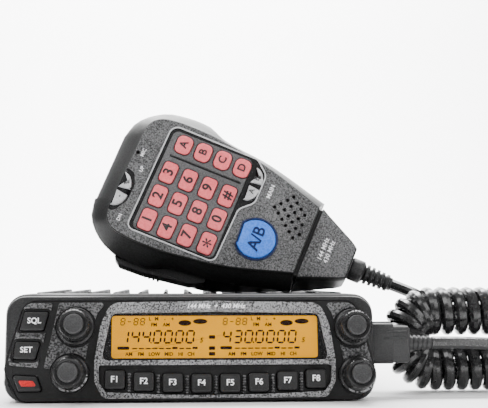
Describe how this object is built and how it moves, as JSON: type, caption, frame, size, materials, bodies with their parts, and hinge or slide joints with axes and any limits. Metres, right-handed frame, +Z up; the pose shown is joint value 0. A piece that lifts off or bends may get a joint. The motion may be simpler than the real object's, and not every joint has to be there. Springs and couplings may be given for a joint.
{
  "type": "mobile transceiver",
  "caption": "Dual-band mobile radio with finned case, amber display, knobs and keys, and a keypad hand microphone on a curly cord.",
  "frame": {"origin": "centre of the radio's underside, on the bottom cover", "axes": "+X to the radio's right side as its face is seen, +Y from the face to the rear, +Z up"},
  "size_m": [0.2809, 0.2066, 0.1215],
  "materials": {
    "cast_aluminium": "black cast, fine grain",
    "painted_steel": "black paint",
    "case_plastic": "smooth satin black",
    "wrinkle_plastic": "wrinkle-textured dark grey",
    "gloss_plastic": "gloss black",
    "key_plastic": "satin dark grey with white legends",
    "clear_window": "clear",
    "amber_display": "backlit amber",
    "circuit_board": "green solder mask",
    "bright_steel": "bright",
    "plated_brass": "nickel plated",
    "mic_plastic": "fine-textured satin black",
    "pink_key": "translucent pink",
    "blue_key": "translucent blue",
    "pale_key": "pale grey",
    "cord_rubber": "glossy black"
  },
  "bodies": {
    "radio": {"heatsink_chassis": "cast_aluminium", "bottom_cover": "painted_steel", "main_board": "circuit_board", "speaker": "bright_steel", "antenna_socket": "plated_brass", "head_case": "case_plastic", "face_plate": "wrinkle_plastic", "display_panel": "wrinkle_plastic", "display_lens": "clear_window", "lcd_module": "amber_display", "control_board": "circuit_board", "mic_jack": "case_plastic", "mic_plug": "cord_rubber", "cord_curl": "cord_rubber", "cord_plug_lead": "cord_rubber"},
    "microphone": {"mic_front_shell": "mic_plastic", "mic_back_shell": "mic_plastic", "mic_tail": "mic_plastic", "hang_button": "bright_steel", "mic_board": "circuit_board", "mic_element": "bright_steel", "cord_boot": "cord_rubber", "cord_mic_lead": "cord_rubber"},
    "ptt_bar": {"ptt_bar": "case_plastic"},
    "tuning_knob_left": {"tuning_knob_left": "gloss_plastic"},
    "tuning_knob_right": {"tuning_knob_right": "gloss_plastic"},
    "volume_knob_left": {"volume_knob_left": "gloss_plastic"},
    "volume_knob_right": {"volume_knob_right": "gloss_plastic"},
    "power_key": {"power_key": "key_plastic"},
    "squelch_key": {"squelch_key": "key_plastic"},
    "set_key": {"set_key": "key_plastic"},
    "low_key_left": {"low_key_left": "key_plastic"},
    "vm_key_left": {"vm_key_left": "key_plastic"},
    "home_key_left": {"home_key_left": "key_plastic"},
    "scan_key_left": {"scan_key_left": "key_plastic"},
    "low_key_right": {"low_key_right": "key_plastic"},
    "vm_key_right": {"vm_key_right": "key_plastic"},
    "home_key_right": {"home_key_right": "key_plastic"},
    "scan_key_right": {"scan_key_right": "key_plastic"},
    "mic_key_1": {"mic_key_1": "pink_key"},
    "mic_key_2": {"mic_key_2": "pink_key"},
    "mic_key_3": {"mic_key_3": "pink_key"},
    "mic_key_4": {"mic_key_4": "pink_key"},
    "mic_key_5": {"mic_key_5": "pink_key"},
    "mic_key_6": {"mic_key_6": "pink_key"},
    "mic_key_7": {"mic_key_7": "pink_key"},
    "mic_key_8": {"mic_key_8": "pink_key"},
    "mic_key_9": {"mic_key_9": "pink_key"},
    "mic_key_0": {"mic_key_0": "pink_key"},
    "mic_key_star": {"mic_key_star": "pink_key"},
    "mic_key_hash": {"mic_key_hash": "pink_key"},
    "mic_key_pa": {"mic_key_pa": "pink_key"},
    "mic_key_pb": {"mic_key_pb": "pink_key"},
    "mic_key_pc": {"mic_key_pc": "pink_key"},
    "mic_key_pd": {"mic_key_pd": "pink_key"},
    "band_key": {"band_key": "blue_key"},
    "main_key_a": {"main_key_a": "pale_key"},
    "main_key_b": {"main_key_b": "pale_key"},
    "up_key": {"up_key": "pale_key"},
    "down_key": {"down_key": "pale_key"}
  },
  "joints": [
    {"name": "mic_lift", "type": "slide", "parent": "radio", "child": "microphone", "axis": [0, 0, 1], "range_m": [0, 0.08]},
    {"name": "ptt_press", "type": "hinge", "parent": "microphone", "child": "ptt_bar", "pos_m": [-0.02961, -0.03349, 0.06011], "axis": [0, -0.965, 0.2622], "range_deg": [0, 3], "stiffness_Nm_per_rad": 0.6},
    {"name": "tuning_turn_left", "type": "hinge", "parent": "radio", "child": "tuning_knob_left", "pos_m": [-0.0448, -0.08594, 0.02892], "axis": [0, -0.9903, 0.1392], "continuous": true},
    {"name": "tuning_turn_right", "type": "hinge", "parent": "radio", "child": "tuning_knob_right", "pos_m": [0.0632, -0.08602, 0.02832], "axis": [0, -0.9903, 0.1392], "continuous": true},
    {"name": "volume_turn_left", "type": "hinge", "parent": "radio", "child": "volume_knob_left", "pos_m": [-0.0466, -0.08844, 0.01109], "axis": [0, -0.9903, 0.1392], "range_deg": [-140, 140]},
    {"name": "volume_turn_right", "type": "hinge", "parent": "radio", "child": "volume_knob_right", "pos_m": [0.0646, -0.08858, 0.0101], "axis": [0, -0.9903, 0.1392], "range_deg": [-140, 140]},
    {"name": "power_key_press", "type": "slide", "parent": "radio", "child": "power_key", "axis": [0, 0.9903, -0.1392], "range_m": [0, 0.0008], "stiffness_N_per_m": 400},
    {"name": "squelch_key_press", "type": "slide", "parent": "radio", "child": "squelch_key", "axis": [0, 0.9903, -0.1392], "range_m": [0, 0.0008], "stiffness_N_per_m": 400},
    {"name": "set_key_press", "type": "slide", "parent": "radio", "child": "set_key", "axis": [0, 0.9903, -0.1392], "range_m": [0, 0.0008], "stiffness_N_per_m": 400},
    {"name": "low_key_left_press", "type": "slide", "parent": "radio", "child": "low_key_left", "axis": [0, 0.9903, -0.1392], "range_m": [0, 0.0008], "stiffness_N_per_m": 400},
    {"name": "vm_key_left_press", "type": "slide", "parent": "radio", "child": "vm_key_left", "axis": [0, 0.9903, -0.1392], "range_m": [0, 0.0008], "stiffness_N_per_m": 400},
    {"name": "home_key_left_press", "type": "slide", "parent": "radio", "child": "home_key_left", "axis": [0, 0.9903, -0.1392], "range_m": [0, 0.0008], "stiffness_N_per_m": 400},
    {"name": "scan_key_left_press", "type": "slide", "parent": "radio", "child": "scan_key_left", "axis": [0, 0.9903, -0.1392], "range_m": [0, 0.0008], "stiffness_N_per_m": 400},
    {"name": "low_key_right_press", "type": "slide", "parent": "radio", "child": "low_key_right", "axis": [0, 0.9903, -0.1392], "range_m": [0, 0.0008], "stiffness_N_per_m": 400},
    {"name": "vm_key_right_press", "type": "slide", "parent": "radio", "child": "vm_key_right", "axis": [0, 0.9903, -0.1392], "range_m": [0, 0.0008], "stiffness_N_per_m": 400},
    {"name": "home_key_right_press", "type": "slide", "parent": "radio", "child": "home_key_right", "axis": [0, 0.9903, -0.1392], "range_m": [0, 0.0008], "stiffness_N_per_m": 400},
    {"name": "scan_key_right_press", "type": "slide", "parent": "radio", "child": "scan_key_right", "axis": [0, 0.9903, -0.1392], "range_m": [0, 0.0008], "stiffness_N_per_m": 400},
    {"name": "mic_key_1_press", "type": "slide", "parent": "microphone", "child": "mic_key_1", "axis": [0, 0.965, -0.2622], "range_m": [0, 0.0008], "stiffness_N_per_m": 400},
    {"name": "mic_key_2_press", "type": "slide", "parent": "microphone", "child": "mic_key_2", "axis": [0, 0.965, -0.2622], "range_m": [0, 0.0008], "stiffness_N_per_m": 400},
    {"name": "mic_key_3_press", "type": "slide", "parent": "microphone", "child": "mic_key_3", "axis": [0, 0.965, -0.2622], "range_m": [0, 0.0008], "stiffness_N_per_m": 400},
    {"name": "mic_key_4_press", "type": "slide", "parent": "microphone", "child": "mic_key_4", "axis": [0, 0.965, -0.2622], "range_m": [0, 0.0008], "stiffness_N_per_m": 400},
    {"name": "mic_key_5_press", "type": "slide", "parent": "microphone", "child": "mic_key_5", "axis": [0, 0.965, -0.2622], "range_m": [0, 0.0008], "stiffness_N_per_m": 400},
    {"name": "mic_key_6_press", "type": "slide", "parent": "microphone", "child": "mic_key_6", "axis": [0, 0.965, -0.2622], "range_m": [0, 0.0008], "stiffness_N_per_m": 400},
    {"name": "mic_key_7_press", "type": "slide", "parent": "microphone", "child": "mic_key_7", "axis": [0, 0.965, -0.2622], "range_m": [0, 0.0008], "stiffness_N_per_m": 400},
    {"name": "mic_key_8_press", "type": "slide", "parent": "microphone", "child": "mic_key_8", "axis": [0, 0.965, -0.2622], "range_m": [0, 0.0008], "stiffness_N_per_m": 400},
    {"name": "mic_key_9_press", "type": "slide", "parent": "microphone", "child": "mic_key_9", "axis": [0, 0.965, -0.2622], "range_m": [0, 0.0008], "stiffness_N_per_m": 400},
    {"name": "mic_key_0_press", "type": "slide", "parent": "microphone", "child": "mic_key_0", "axis": [0, 0.965, -0.2622], "range_m": [0, 0.0008], "stiffness_N_per_m": 400},
    {"name": "mic_key_star_press", "type": "slide", "parent": "microphone", "child": "mic_key_star", "axis": [0, 0.965, -0.2622], "range_m": [0, 0.0008], "stiffness_N_per_m": 400},
    {"name": "mic_key_hash_press", "type": "slide", "parent": "microphone", "child": "mic_key_hash", "axis": [0, 0.965, -0.2622], "range_m": [0, 0.0008], "stiffness_N_per_m": 400},
    {"name": "mic_key_pa_press", "type": "slide", "parent": "microphone", "child": "mic_key_pa", "axis": [0, 0.965, -0.2622], "range_m": [0, 0.0008], "stiffness_N_per_m": 400},
    {"name": "mic_key_pb_press", "type": "slide", "parent": "microphone", "child": "mic_key_pb", "axis": [0, 0.965, -0.2622], "range_m": [0, 0.0008], "stiffness_N_per_m": 400},
    {"name": "mic_key_pc_press", "type": "slide", "parent": "microphone", "child": "mic_key_pc", "axis": [0, 0.965, -0.2622], "range_m": [0, 0.0008], "stiffness_N_per_m": 400},
    {"name": "mic_key_pd_press", "type": "slide", "parent": "microphone", "child": "mic_key_pd", "axis": [0, 0.965, -0.2622], "range_m": [0, 0.0008], "stiffness_N_per_m": 400},
    {"name": "band_key_press", "type": "slide", "parent": "microphone", "child": "band_key", "axis": [0, 0.965, -0.2622], "range_m": [0, 0.0008], "stiffness_N_per_m": 400},
    {"name": "main_key_a_press", "type": "slide", "parent": "microphone", "child": "main_key_a", "axis": [0, 0.965, -0.2622], "range_m": [0, 0.0008], "stiffness_N_per_m": 400},
    {"name": "main_key_b_press", "type": "slide", "parent": "microphone", "child": "main_key_b", "axis": [0, 0.965, -0.2622], "range_m": [0, 0.0008], "stiffness_N_per_m": 400},
    {"name": "up_key_press", "type": "slide", "parent": "microphone", "child": "up_key", "axis": [0, 0.965, -0.2622], "range_m": [0, 0.0008], "stiffness_N_per_m": 400},
    {"name": "down_key_press", "type": "slide", "parent": "microphone", "child": "down_key", "axis": [0, 0.965, -0.2622], "range_m": [0, 0.0008], "stiffness_N_per_m": 400}
  ]
}
